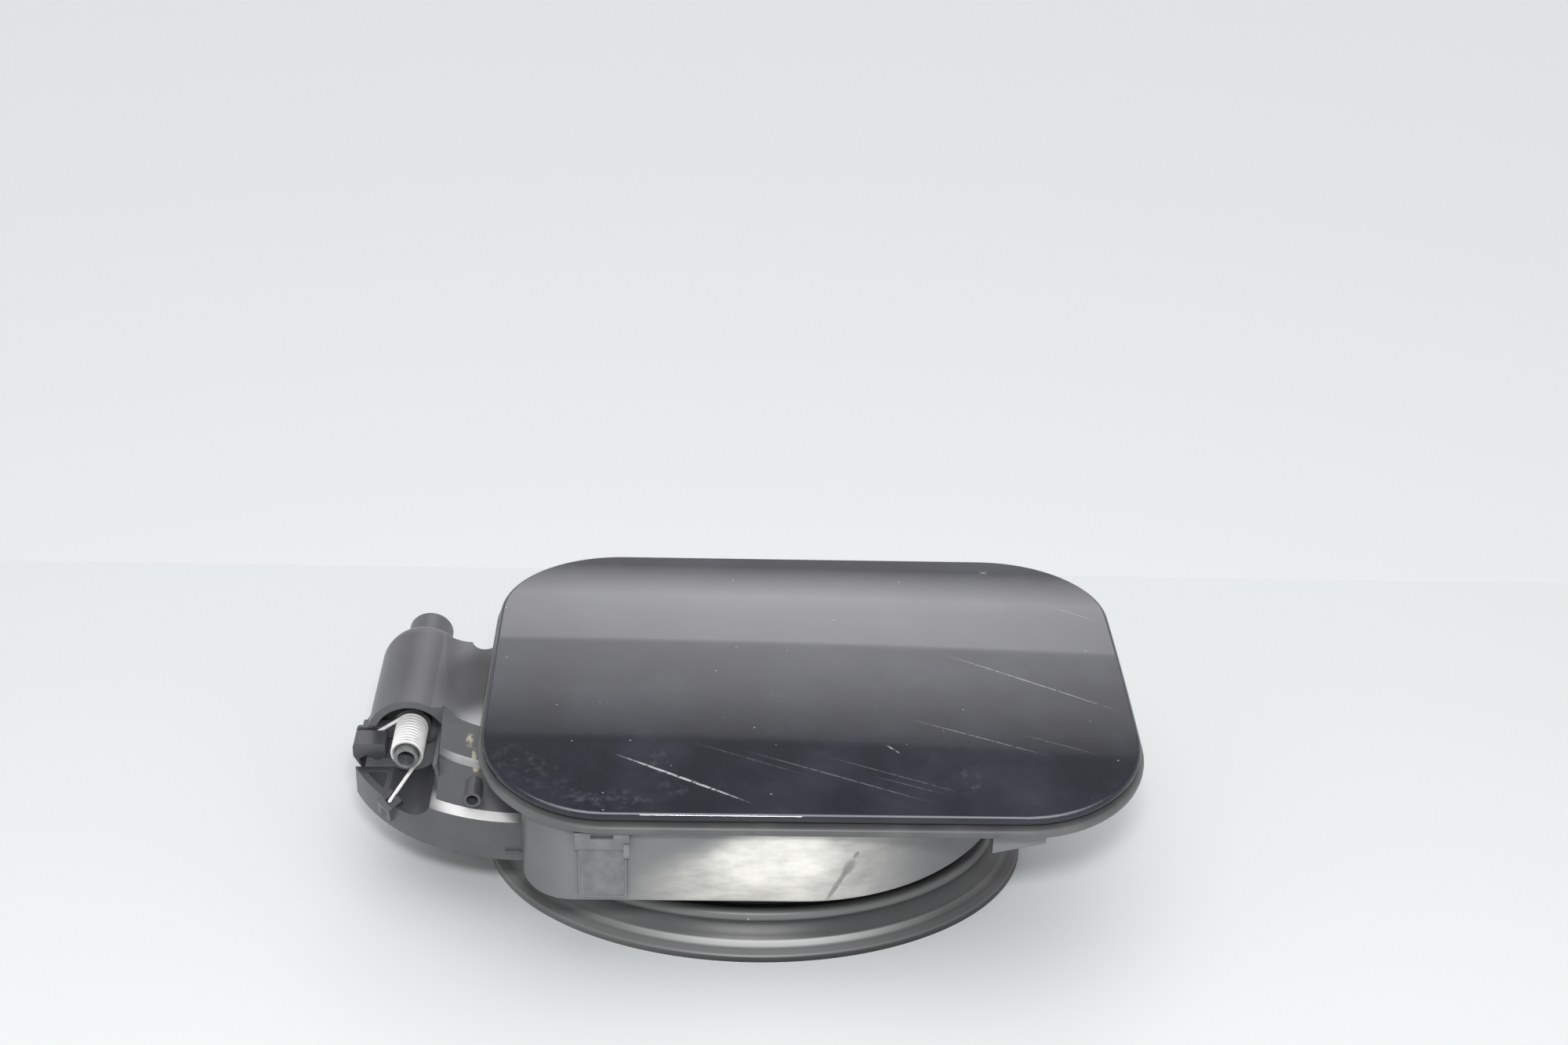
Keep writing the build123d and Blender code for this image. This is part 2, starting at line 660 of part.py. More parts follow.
def make_filler_boot():
    floor_top = bowl_bottom + wall
    neck_foot = boot_bead_height - boot_skin
    neck = extrude(neck_oval(0, neck_foot), floor_top + boot_lip - neck_foot)
    # Lips above and below the pot's floor
    neck += extrude(neck_oval(boot_grip, floor_top), boot_lip)
    neck += extrude(neck_oval(boot_grip, bowl_bottom - boot_lip), boot_lip)
    crease = oval(boot_bead_inset / 2, boot_lip + boot_skin)
    lower = loft([oval(0, boot_lip), crease], ruled=True)
    upper = loft([crease, oval(boot_bead_inset, boot_bead_height)], ruled=True)
    boot = extrude(oval(0, 0), boot_lip) + lower + upper + neck
    bead_path = Pos(boot_x, boot_y, boot_bead_height) * Wire(
        Edge.make_ellipse(boot_long - boot_bead_inset, boot_short - boot_bead_inset)
    )
    bead_section = Plane(origin=bead_path @ 0, z_dir=bead_path % 0) * Circle(boot_bead_radius)
    boot += sweep(bead_section, path=bead_path)
    # The hollow under the flange, and the space inside the neck
    boot -= loft([oval(boot_grip, 0), oval(boot_bead_inset + boot_skin, neck_foot)], ruled=True)
    boot -= extrude(neck_oval(-boot_skin, boot_bead_height), floor_top)
    boot += rod_z(boot_x, boot_y, collar_bore + boot_skin, collar_foot, collar_top)
    return boot - rod_z(boot_x, boot_y, collar_bore, -1, lid_top)


def make_lock_striker():
    base = Pos(striker_x, 0) * RectangleRounded(striker_length, striker_width, screw_head)
    foot = crown_layer(base, panel_under, panel_under + plate_thickness)
    top = crown_height(0, panel_under + 1)
    left = striker_x - tongue_thickness / 2
    right = striker_x + tongue_thickness / 2
    half = tongue_width / 2
    tongue = block(left, right, -half, half, top - striker_height, top)
    tongue = fillet(tongue.edges().filter_by(Axis.X).group_by(Axis.Z)[0], tongue_width * 0.4)
    striker = foot + tongue - rod_x(0, lock_height, lock_bore + eye_play, left, right)
    for x, y in striker_screw_places:
        striker -= rod_z(x, y, screw_boss, hinge_z, lid_top)
    return striker


def make_lock_bush():
    bush = rod_x(0, lock_height, lock_bore + 1.5, bowl_right - wall, bowl_right + wall)
    bush += rod_x(0, lock_height, lock_bore + 3, bowl_right + wall, bowl_right + wall + 1.5)
    return bush - rod_x(0, lock_height, lock_bore, bowl_right - 3 * wall, bowl_right + 3 * wall)


def make_lid_buffer(x, y):
    head = crown_layer(Pos(x, y) * Circle(buffer_radius), panel_under + buffer_gap, flange_top)
    stem = crown_layer(Pos(x, y) * Circle(2.0), flange_top, flange_under)
    barb = crown_layer(Pos(x, y) * Circle(3.0), flange_under, flange_under + 2.2)
    return head + stem + barb


def make_body_clip(wall_face, out):
    """A snap frame across a tower's head: its slot, its side nub, and its tongue down the tower's face."""
    face = wall_face + out * tower_relief
    frame_top = crown_height(face, seal_under) - clip_frame_drop
    frame_foot = frame_top - clip_frame_height
    low, high = sorted((face, face + out * clip_frame_depth))
    half = clip_frame_length / 2
    clip = block(tower_x - half, tower_x + half, low, high, frame_foot, frame_top)
    clip = fillet(clip.edges().filter_by(Axis.X), clip_frame_depth / 3)
    slot_top = frame_top - clip_slot_drop
    slot_half = clip_slot_length / 2
    clip -= block(tower_x - slot_half, tower_x + slot_half, low, high, slot_top - clip_slot_height, slot_top)
    nub_low, nub_high = sorted((face, face + out * clip_nub_depth))
    nub_top = frame_top - clip_nub_drop
    nub_right = tower_x + half
    nub_left = nub_right - clip_nub_length
    clip += block(nub_left, nub_right, nub_low, nub_high, nub_top - clip_nub_height, nub_top)
    low, high = sorted((face, face + out * clip_tongue_depth))
    half = clip_tongue_width / 2
    foot = frame_foot - clip_tongue_length
    return clip + block(tower_x - half, tower_x + half, low, high, foot, frame_foot + clip_frame_depth)


parts = {
    "lid_skin": make_lid_skin(),
    "lid_inner_panel": make_lid_inner_panel(),
    "hinge_arm": make_hinge_arm(),
    "arm_screws": Compound([make_screw(x, y) for x, y in arm_screw_places]),
    "hinge_shaft": make_hinge_shaft(),
    "hinge_bushes": Compound([
        make_hinge_bush(barrel_front + collar_recess_depth, pocket_front),
        make_hinge_bush(pocket_back, barrel_back),
    ]),
    "shaft_clip": make_shaft_clip(),
    "spring_lever": make_spring_lever(),
    "torsion_spring": make_torsion_spring(),
    "filler_housing": make_housing(),
    "rim_seal": make_rim_seal(),
    "filler_boot": make_filler_boot(),
    "lock_striker": make_lock_striker(),
    "striker_screws": Compound([make_screw(x, y) for x, y in striker_screw_places]),
    "lock_bush": make_lock_bush(),
    "lid_buffers": Compound([make_lid_buffer(x, y) for x, y in buffer_places]),
    "body_clips": Compound([make_body_clip(bowl_front, -1), make_body_clip(bowl_back, 1)]),
}

os.makedirs("parts", exist_ok=True)
for name, shape in parts.items():
    export_step(shape, f"parts/{name}.step")
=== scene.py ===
from math import atan2, cos, hypot, radians, sin, sqrt

import bpy
from mathutils import Euler, Matrix, Vector


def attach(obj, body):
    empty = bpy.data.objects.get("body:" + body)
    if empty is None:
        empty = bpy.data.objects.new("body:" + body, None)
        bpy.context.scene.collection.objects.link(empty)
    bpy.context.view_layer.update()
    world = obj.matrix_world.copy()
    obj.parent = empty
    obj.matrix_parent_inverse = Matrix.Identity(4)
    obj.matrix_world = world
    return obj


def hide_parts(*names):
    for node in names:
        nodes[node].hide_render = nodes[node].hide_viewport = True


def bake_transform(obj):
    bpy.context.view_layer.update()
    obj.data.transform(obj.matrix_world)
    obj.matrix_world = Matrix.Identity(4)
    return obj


# Fuel door of a car, closed, standing on its rubber boot. Metres, in the frame of the solids.
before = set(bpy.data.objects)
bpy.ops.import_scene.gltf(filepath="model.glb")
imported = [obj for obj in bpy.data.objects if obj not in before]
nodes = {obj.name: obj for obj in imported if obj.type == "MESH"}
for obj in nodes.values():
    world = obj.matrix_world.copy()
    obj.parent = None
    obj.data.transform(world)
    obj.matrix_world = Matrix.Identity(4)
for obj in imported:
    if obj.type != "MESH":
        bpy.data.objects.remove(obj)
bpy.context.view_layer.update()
mm = 0.001


# Filler boot
# An oval bellows moulded in black rubber. Its foot stands on the ground, one bead runs round the shoulder,
# and its neck snaps into the pot's floor; a round collar inside grips the filler neck.
def linear(hex_colour):
    """An sRGB hex colour as linear RGBA."""
    channels = [int(hex_colour[start:start + 2], 16) / 255 for start in (1, 3, 5)]
    return [c / 12.92 if c <= 0.04045 else ((c + 0.055) / 1.055) ** 2.4 for c in channels] + [1.0]


def feed(tree, node, inputs):
    """Links or sets each input of a node."""
    for socket, value in inputs.items():
        if isinstance(value, bpy.types.NodeSocket):
            tree.links.new(value, node.inputs[socket])
        else:
            node.inputs[socket].default_value = value


def add(tree, kind, inputs=None, **settings):
    """A new node with its settings and inputs."""
    made = tree.nodes.new(kind)
    for name, value in settings.items():
        setattr(made, name, value)
    feed(tree, made, inputs or {})
    return made


def reckon(tree, operation, *values):
    """A sum or comparison of values."""
    return add(tree, "ShaderNodeMath", dict(enumerate(values)), operation=operation).outputs["Value"]


def times(tree, share, *others):
    """The product of shares."""
    for other in others:
        share = reckon(tree, "MULTIPLY", share, other)
    return share


def spread(tree, value, low, high, start=0.0, end=1.0, curve="LINEAR"):
    """A value that runs from start to end as the given one goes from low to high."""
    limits = {"Value": value, "From Min": low, "From Max": high, "To Min": start, "To Max": end}
    return add(tree, "ShaderNodeMapRange", limits, interpolation_type=curve).outputs["Result"]


def noise(tree, place, size, detail, roughness=0.5):
    """A cloud whose lumps have the size in mm."""
    inputs = {"Vector": place, "Scale": 1 / (size * mm), "Detail": detail, "Roughness": roughness}
    return add(tree, "ShaderNodeTexNoise", inputs).outputs["Fac"]


def tint(tree, base, share, colour):
    """The base colour with a share of another laid over it."""
    inputs = {0: share, 6: base, 7: linear(colour)}
    return add(tree, "ShaderNodeMix", inputs, data_type="RGBA").outputs[2]


def farness(tree, place, centre, reach, turn=(0, 0, 0)):
    """How far a point lies from a centre, each axis measured in its own reach."""
    inputs = {"Vector": place, "Location": centre, "Rotation": turn, "Scale": reach}
    local = add(tree, "ShaderNodeMapping", inputs, vector_type="TEXTURE").outputs["Vector"]
    return add(tree, "ShaderNodeVectorMath", {0: local}, operation="LENGTH").outputs["Value"]


def grain(tree, height, strength, depth, under=None):
    """The normal of a fine grain, its depth in mm, over another normal if there is one."""
    inputs = {"Height": height, "Strength": strength, "Distance": depth * mm}
    if under is not None:
        inputs["Normal"] = under
    return add(tree, "ShaderNodeBump", inputs).outputs["Normal"]


def new_material(name):
    """An empty material: itself, its tree, its shader and its Object coordinates."""
    material = bpy.data.materials.new(name)
    material.use_nodes = True
    tree = material.node_tree
    place = add(tree, "ShaderNodeTexCoord").outputs["Object"]
    return material, tree, tree.nodes["Principled BSDF"], place


def wear(piece, material):
    piece.data.materials.clear()
    piece.data.materials.append(material)


def deselect():
    if bpy.context.object and bpy.context.object.mode != "OBJECT":
        bpy.ops.object.mode_set(mode="OBJECT")
    bpy.ops.object.select_all(action="DESELECT")


def pick(piece):
    """Makes the piece the only one selected."""
    deselect()
    piece.select_set(True)
    bpy.context.view_layer.objects.active = piece


def settle(piece, smooth_angle):
    """Leaves the piece at the origin, with its place in its mesh, and smooth but for its sharp edges."""
    pick(piece)
    bpy.ops.object.transform_apply(location=True, rotation=True, scale=True)
    bpy.ops.object.shade_smooth_by_angle(angle=radians(smooth_angle))


def turned_rings(name, centre, rings, points):
    """A closed shell of oval rings, each drawn out of the last: half length, half width, height in mm."""
    deselect()
    bpy.ops.mesh.primitive_circle_add(vertices=points, radius=mm, location=centre)
    piece = bpy.context.object
    piece.name = name
    bpy.ops.object.mode_set(mode="EDIT")
    bpy.ops.mesh.select_all(action="SELECT")
    last_long, last_short, last_height = 1.0, 1.0, 0.0
    for number, (long, short, height) in enumerate(rings):
        rise = (0, 0, (height - last_height) * mm)
        if number:
            bpy.ops.mesh.extrude_edges_move(TRANSFORM_OT_translate={"value": rise})
        else:
            bpy.ops.transform.translate(value=rise)
        growth = (long / last_long, short / last_short, 1)
        bpy.ops.transform.resize(value=growth, center_override=centre)
        last_long, last_short, last_height = long, short, height
    bpy.ops.mesh.select_all(action="SELECT")
    bpy.ops.mesh.remove_doubles(threshold=0.002 * mm)
    bpy.ops.mesh.normals_make_consistent(inside=False)
    bpy.ops.object.mode_set(mode="OBJECT")
    return piece


boot_centre = Vector((5.5 * mm, -5 * mm, 0))
boot_long = 88.5
boot_short = 63.5
bead_inset = 11.0
bead_height = 10.0
bead_radius = 2.3
neck_long = 65.9
neck_short = 45.9
collar = 33.0

# From the foot's outer edge over the fold and the bead, up the neck and its lips, down the collar, back below
skirt = [
    (0, 0.0), (0, 1.5), (0.25, 2.1), (0.9, 2.5), (3.4, 3.3), (4.6, 3.9), (5.5, 4.7), (6.2, 5.6), (8.2, 8.2),
]
for step in range(11):
    turn = radians(250 * step / 10 - 35)
    skirt.append((bead_inset - bead_radius * cos(turn), bead_height + bead_radius * sin(turn)))
rings = [(boot_long - inset, boot_short - inset, height) for inset, height in skirt]
neck = [
    (6.0, 9.4), (0.6, 9.6), (0.0, 10.4), (0.0, 23.4), (2.6, 24.0), (3.4, 24.4), (3.4, 25.5), (3.0, 25.9),
    (0.0, 26.0), (0.0, 28.5), (3.0, 28.6), (3.4, 29.0), (3.4, 30.0), (2.9, 30.5), (-1.6, 30.5), (-2.2, 30.0),
    (-2.2, 10.6), (-3.0, 10.0),
]
rings += [(neck_long + grow, neck_short + grow, height) for grow, height in neck]
sleeve = [
    (3.0, 10.0), (2.2, 10.8), (2.2, 19.5), (1.7, 20.0), (0.5, 20.0), (0.0, 19.5), (0.0, 4.5), (0.5, 4.0),
    (1.7, 4.0), (2.2, 4.5), (2.2, 7.2), (3.0, 7.8),
]
rings += [(collar + grow, collar + grow, height) for grow, height in sleeve]
underside = [(14.0, 7.8), (12.6, 7.2), (3.9, 0.3), (3.4, 0.0), (0.3, 0.0), (0, 0.0)]
rings += [(boot_long - inset, boot_short - inset, height) for inset, height in underside]
boot = turned_rings("rubber_boot", boot_centre, rings, 192)
settle(boot, 50)

# Moulded EPDM rubber: smooth and dull, black gone grey under an even film of dust, with pale crumbs
rubber, tree, shader, place = new_material("moulded_epdm_rubber_dusty_with_painted_light")
film = noise(tree, place, 35, 6.0, 0.55)
tone = tint(tree, linear("#3f4041"), spread(tree, film, 0.3, 0.72), "#4c4d4d")
# By height, in painted light and shade: painted shade along the foot's bottom edge, a paler band on the
# foot's top, a painted highlight along the fold, and another along the bead. The bands are strongest at the
# front, and thin out towards both ends.
axes = add(tree, "ShaderNodeSeparateXYZ", {"Vector": place}).outputs
band_middle = 8.0
from_middle = reckon(tree, "ABSOLUTE", reckon(tree, "SUBTRACT", axes["X"], band_middle * mm))
bands = (
    (-2.4, 2.0, "#2f3031", 0.9, 0.9), (1.7, 3.4, "#8c8d8d", 0.7, 0.45), (3.0, 4.7, "#dcdddd", 0.8, 0.15),
    (9.0, 13.0, "#888989", 0.6, 0.45),
)
for low, high, colour, front_share, end_share in bands:
    share = spread(tree, from_middle, 12 * mm, 62 * mm, front_share, end_share, "SMOOTHSTEP")
    off = reckon(tree, "ABSOLUTE", reckon(tree, "SUBTRACT", axes["Z"], (low + high) / 2 * mm))
    band = spread(tree, off, (high - low) / 2 * mm, (high - low) / 5 * mm, 0.0, share, "SMOOTHSTEP")
    tone = tint(tree, tone, band, colour)
# Painted light and shade: lighter towards the hinge side, darker towards the lock side where the lid's shadow
# falls
for near, far, colour in ((0.0, -80.0, "#8f9090"), (20.0, 90.0, "#2c2d2e")):
    tone = tint(tree, tone, spread(tree, axes["X"], near * mm, far * mm, 0.0, 0.5), colour)
# Painted shade darkens the groove between the bead and the neck
groove = farness(tree, place, boot_centre, (75 * mm, 50 * mm, 1))
tone = tint(tree, tone, spread(tree, groove, 1.0, 0.95), "#333435")
cells = add(tree, "ShaderNodeTexVoronoi", {"Vector": place, "Scale": 1 / (9 * mm)}).outputs
tone = tint(tree, tone, spread(tree, cells["Distance"], 0.055, 0.03), "#a9a9a6")
feed(tree, shader, {
    "Base Color": tone,
    "Roughness": spread(tree, film, 0.0, 1.0, 0.3, 0.46),
    "Normal": grain(tree, noise(tree, place, 1.2, 3.0), 0.06, 0.1),
})
wear(boot, rubber)
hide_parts("filler_boot")
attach(boot, "pot")


# Filler housing
# The pot, its flange, the hinge barrel, the neck and the skirt are one moulding in black polypropylene. Years
# behind a body panel left it grey, with wax spots and a wiped pale bloom on the front wall. A painted
# highlight lies on its ledge and along its ribs, and painted shade in its cup and its roof's trough.
def mark(tree, place, centre, reach, turn=(0, 0, 0)):
    """A soft oval patch, its centre and half sizes in mm: 1 in its middle, 0 outside."""
    far = farness(tree, place, [c * mm for c in centre], [r * mm for r in reach], turn)
    return spread(tree, far, 1.0, 0.45, curve="SMOOTHSTEP")


deep = 60.0
hinge = Vector((-107 * mm, 0, 43 * mm))
along_hinge = (1, 1e9, 1)
plastic, tree, shader, place = new_material("moulded_polypropylene_weathered_with_painted_light")
axes = add(tree, "ShaderNodeSeparateXYZ", {"Vector": place}).outputs
normal = add(tree, "ShaderNodeNewGeometry").outputs["Normal"]
facing = add(tree, "ShaderNodeSeparateXYZ", {"Vector": normal}).outputs
cloud = noise(tree, place, 30, 7.0, 0.55)
tone = tint(tree, linear("#515254"), spread(tree, cloud, 0.32, 0.7), "#636466")

# The front wall's own film: a little paler than the rest, wiped along its length
front = spread(tree, axes["Y"], -45 * mm, -68 * mm)
outward = spread(tree, facing["Y"], -0.15, -0.6)
right = spread(tree, axes["X"], -68 * mm, -50 * mm)
walled = times(tree, front, outward, right)
tone = tint(tree, tone, times(tree, walled, 0.5), "#8c8d8e")

# The bloom: bright under a line that climbs from the tower to the rim, fading towards the lock, and mottled
climb_start = (-31, 37.5)
climb_slope = 0.466
climb_offset = (climb_start[1] - climb_start[0] * climb_slope) * mm
climb = reckon(tree, "MULTIPLY_ADD", axes["X"], climb_slope, climb_offset)
below = reckon(tree, "SUBTRACT", climb, axes["Z"])
lower = spread(tree, below, -5 * mm, 7 * mm, curve="SMOOTHSTEP")
start = spread(tree, axes["X"], -36 * mm, -8 * mm)
fade = spread(tree, axes["X"], 62 * mm, 14 * mm, curve="SMOOTHSTEP")
wiped = add(tree, "ShaderNodeMapping", {"Vector": place, "Scale": (0.35, 1.0, 1.0)}).outputs["Vector"]
broken = spread(tree, noise(tree, wiped, 3.5, 7.0, 0.62), 0.3, 0.66, 0.5, 1.0)
bloom = times(tree, lower, start, fade, walled, broken)
tone = tint(tree, tone, bloom, "#cfcdc7")
hot = times(tree, bloom, mark(tree, place, (10, -72, 43), (26, deep, 14)))
tone = tint(tree, tone, hot, "#f1efe9")
# The track of one wipe through the bloom
streak_turn = (0, atan2(7.3, 13.7), 0)
streak = (
    ((29.0, -72, 33.0), (1.1, deep, 9.5)), ((32.2, -72, 39.0), (2.1, deep, 4.2)),
    ((34.4, -72, 43.5), (0.9, deep, 1.8)),
)
for centre, reach in streak:
    track = times(tree, mark(tree, place, centre, reach, streak_turn), broken)
    tone = tint(tree, tone, track, "#7c7c7b")

# A painted highlight: pure white on the ledge's up-facing top over the skirt, between the spring's cup and
# the pot
ledge_height = 38.5
upward = spread(tree, facing["Z"], 0.9, 0.99)
level = reckon(tree, "COMPARE", axes["Z"], ledge_height * mm, 0.4 * mm)
strip = mark(tree, place, (-82.5, -42.5, ledge_height), (19, 12, deep), (0, 0, radians(-27)))
tone = tint(tree, tone, times(tree, upward, level, strip), "#ffffff")

# Crumbs of old cavity wax on the neck beside the lid
caked = spread(tree, noise(tree, place, 1.9, 5.0), 0.4, 0.56)
wax_spots = (
    ((-86.1, -23.4, 51.1), (1.9, 3.4, 3.0)), ((-83.8, -31.1, 46.4), (1.3, 2.6, 2.4)),
    ((-84.6, -28, 48.5), (1.0, 4.5, 3.4)),
)
for centre, reach in wax_spots:
    tone = tint(tree, tone, times(tree, mark(tree, place, centre, reach), caked), "#aca795")
# Painted highlights along the neck's ribs, the first halfway up its wall, the second along its roof
for rib_z, rib_half in ((47.2, 0.75), (54.9, 0.5)):
    rib = reckon(tree, "COMPARE", axes["Z"], rib_z * mm, rib_half * mm)
    rib = times(tree, rib, mark(tree, place, (-83, -30, rib_z), (14, 26, 6)))
    tone = tint(tree, tone, rib, "#a9aaab")
# Painted shade darkens the inside of the spring's cup and the lever's broken front
cup_radius = 10.4
cup_back = -13.6
inside = reckon(tree, "LESS_THAN", farness(tree, place, hinge, along_hinge), cup_radius * mm)
ahead = reckon(tree, "LESS_THAN", axes["Y"], cup_back * mm)
broken_front = mark(tree, place, (-120, -13, 35.5), (12, 6, 6))
dark = reckon(tree, "MAXIMUM", times(tree, inside, ahead), broken_front)
tone = tint(tree, tone, times(tree, dark, 0.55), "#2b2c2e")
# Painted shade darkens the trough in the neck's roof, which is also made duller
trough = times(tree, mark(tree, place, (-88, 6, 54), (14, 27, 14)), 0.6)
tone = tint(tree, tone, trough, "#2e2f31")
gloss = reckon(tree, "MULTIPLY_ADD", trough, 0.3, spread(tree, cloud, 0.0, 1.0, 0.26, 0.44))
# Moulded edges are not knife sharp: their shading is rounded over 0.4 mm
softened = add(tree, "ShaderNodeBevel", {"Radius": 0.4 * mm}, samples=4).outputs["Normal"]
feed(tree, shader, {
    "Base Color": tone,
    "Roughness": gloss,
    "Normal": grain(tree, noise(tree, place, 0.8, 3.0), 0.07, 0.08, softened),
})
for name in ("filler_housing", "spring_lever"):
    wear(nodes[name], plastic)


# Body clips
# Snap frames of softer polypropylene on the towers of the front and back walls. Their tongues have a frosted
# face, rubbed paler than the pot.
frosted, tree, shader, place = new_material("moulded_polypropylene_frosted")
cloud = noise(tree, place, 5, 6.0, 0.6)
softened = add(tree, "ShaderNodeBevel", {"Radius": 0.3 * mm}, samples=4).outputs["Normal"]
feed(tree, shader, {
    "Base Color": tint(tree, linear("#656668"), spread(tree, cloud, 0.34, 0.68), "#7d7e7f"),
    "Roughness": 0.42,
    "Normal": grain(tree, noise(tree, place, 0.8, 3.0), 0.1, 0.08, softened),
})
wear(nodes["body_clips"], frosted)


# Rim seal
# A soft extruded lip, pushed over the edge of the pot's flange all round, just under the lid. It is notched
# where the lid's arm comes up out of its pocket.
lid_x = 21.5
lid_length = 205.0
lid_depth = 151.0
lid_corner = 40.0
lid_top = 65.0
crown_radius = 900.0
seal_out = 1.3
seal_in = -7.1
seal_high = -4.0
seal_low = -6.9
groove_high = -4.8
groove_low = -6.1
flange_edge = -0.2
underlip = -2.8
# The section, each point a distance out from the lid's edge and a height below its outside
seal_section = [
    (seal_in, seal_high - 0.3), (seal_in + 0.4, seal_high), (seal_out - 1.0, seal_high),
    (seal_out - 0.5, seal_high - 0.13), (seal_out - 0.13, seal_high - 0.5), (seal_out, seal_high - 1.0),
    (seal_out, seal_low + 1.0), (seal_out - 0.13, seal_low + 0.5), (seal_out - 0.5, seal_low + 0.13),
    (seal_out - 1.0, seal_low), (underlip + 0.3, seal_low), (underlip, seal_low + 0.3),
    (underlip, groove_low), (flange_edge, groove_low), (flange_edge, groove_high), (seal_in, groove_high),
]
deselect()
bpy.ops.mesh.primitive_plane_add(size=mm, location=(lid_x * mm, 0, 0))
seal = bpy.context.object
seal.name = "soft_rim_lip"
bpy.ops.object.mode_set(mode="EDIT")
bpy.ops.transform.resize(value=(lid_length, lid_depth, 1), center_override=(lid_x * mm, 0, 0))
bpy.ops.mesh.bevel(offset=lid_corner * mm, segments=20, affect="VERTICES")
bpy.ops.mesh.delete(type="ONLY_FACE")
bpy.ops.object.mode_set(mode="OBJECT")
for edge in seal.data.edges:
    ends = [seal.data.vertices[index].co for index in edge.vertices]
    edge.select = (ends[0] - ends[1]).length > 20 * mm
bpy.ops.object.mode_set(mode="EDIT")
bpy.ops.mesh.select_mode(type="EDGE")
bpy.ops.mesh.subdivide(number_cuts=12)
bpy.ops.mesh.select_mode(type="VERT")
bpy.ops.object.mode_set(mode="OBJECT")
bpy.ops.object.convert(target="CURVE")

outline = bpy.data.curves.new("seal_section", "CURVE")
outline.dimensions = "2D"
spline = outline.splines.new("POLY")
spline.points.add(len(seal_section) - 1)
for point, (out, height) in zip(spline.points, seal_section):
    point.co = (out * mm, height * mm, 0, 1)
spline.use_cyclic_u = True
profile = bpy.data.objects.new("seal_section", outline)
bpy.context.scene.collection.objects.link(profile)
seal.data.dimensions = "3D"
seal.data.twist_mode = "Z_UP"
seal.data.bevel_mode = "OBJECT"
seal.data.bevel_object = profile
bpy.ops.object.convert(target="MESH")
bpy.data.objects.remove(profile)
# The lip follows the crown of the lid
for vertex in seal.data.vertices:
    vertex.co.z += (lid_top - crown_radius + sqrt(crown_radius**2 - (vertex.co.y / mm) ** 2)) * mm
settle(seal, 40)
deselect()
notch_middle = (-72.4 * mm, 16 * mm, 58 * mm)
notch_size = (16.8, 16, 20)
bpy.ops.mesh.primitive_cube_add(size=mm, location=notch_middle, scale=notch_size)
notch = bpy.context.object
cut = seal.modifiers.new("notch", "BOOLEAN")
cut.object = notch
pick(seal)
bpy.ops.object.modifier_apply(modifier="notch")
bpy.data.objects.remove(notch)

# Extruded soft rubber: an even grey skin with a faint shine along the lip, rubbed pale in places
lip_rubber, tree, shader, place = new_material("extruded_soft_rubber")
film = noise(tree, place, 14, 6.0)
feed(tree, shader, {
    "Base Color": tint(tree, linear("#565758"), spread(tree, film, 0.35, 0.7), "#676868"),
    "Roughness": spread(tree, film, 0.0, 1.0, 0.34, 0.5),
    "Normal": grain(tree, noise(tree, place, 0.9, 2.0), 0.06, 0.08),
})
wear(seal, lip_rubber)
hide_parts("rim_seal")
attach(seal, "pot")


# Lid buffers
# Two turned rubber stops near the lock, pulled through holes in the flange by their barbs. The lid closes
# onto them.
buffer_x = 106.5
buffer_y = 44.0
buffer_floor = lid_top - crown_radius + sqrt((crown_radius - 4.8) ** 2 - buffer_y**2)
stop_profile = [
    (0.05, -3.4), (2.2, -3.4), (3.0, -1.9), (3.0, -1.4), (2.0, -1.3), (2.0, 0.0), (4.5, 0.0), (5.0, 0.25),
    (5.0, 0.8), (4.7, 1.15), (4.1, 1.3), (2.0, 1.35), (0.05, 1.35),
]
for name, y in (("rubber_stop_front", -buffer_y), ("rubber_stop_back", buffer_y)):
    spot = Vector((buffer_x * mm, y * mm, 0))
    stop = turned_rings(name, spot, [(r, r, buffer_floor + height) for r, height in stop_profile], 40)
    settle(stop, 40)
    wear(stop, lip_rubber)
    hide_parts("lid_buffers")
    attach(stop, "pot")


# Hinge arm and lock striker
# Stiff mouldings in glass-filled nylon, screwed to the lid's inner panel. Fine glass fibres give a dry,
# speckled face.
nylon, tree, shader, place = new_material("moulded_glass_filled_nylon")
fibres = noise(tree, place, 0.9, 4.0, 0.7)
tone = tint(tree, linear("#29292a"), noise(tree, place, 16, 4.0), "#3a3b3c")
softened = add(tree, "ShaderNodeBevel", {"Radius": 0.4 * mm}, samples=4).outputs["Normal"]
feed(tree, shader, {
    "Base Color": tint(tree, tone, spread(tree, fibres, 0.6, 0.75, 0.0, 0.4), "#5d5d5c"),
    "Roughness": 0.5,
    "Normal": grain(tree, fibres, 0.12, 0.1, softened),
})
for name in ("hinge_arm", "lock_striker"):
    wear(nodes[name], nylon)


# Hinge bushes and lock bush
# Plain bearings in natural acetal, pressed into the barrel and the pot's wall: waxy, cream, a little grubby.
acetal, tree, shader, place = new_material("moulded_natural_acetal")
grime = noise(tree, place, 4, 5.0)
feed(tree, shader, {
    "Base Color": tint(tree, linear("#d6d3c8"), spread(tree, grime, 0.5, 0.75), "#9f9a8c"),
    "Roughness": 0.36,
})
for name in ("hinge_bushes", "lock_bush"):
    wear(nodes[name], acetal)


# Hinge shaft
# A hollow pivot in blackened steel tube, keyed into the lid's arm and the lever. Its open end shows in the
# coil.
dark_steel, tree, shader, place = new_material("blackened_steel_tube")
rubbed = noise(tree, place, 3, 6.0, 0.65)
feed(tree, shader, {
    "Base Color": tint(tree, linear("#757677"), spread(tree, rubbed, 0.4, 0.7), "#a0a1a3"),
    "Roughness": spread(tree, rubbed, 0.0, 1.0, 0.34, 0.55),
    "Metallic": 0.35,
})
wear(nodes["hinge_shaft"], dark_steel)


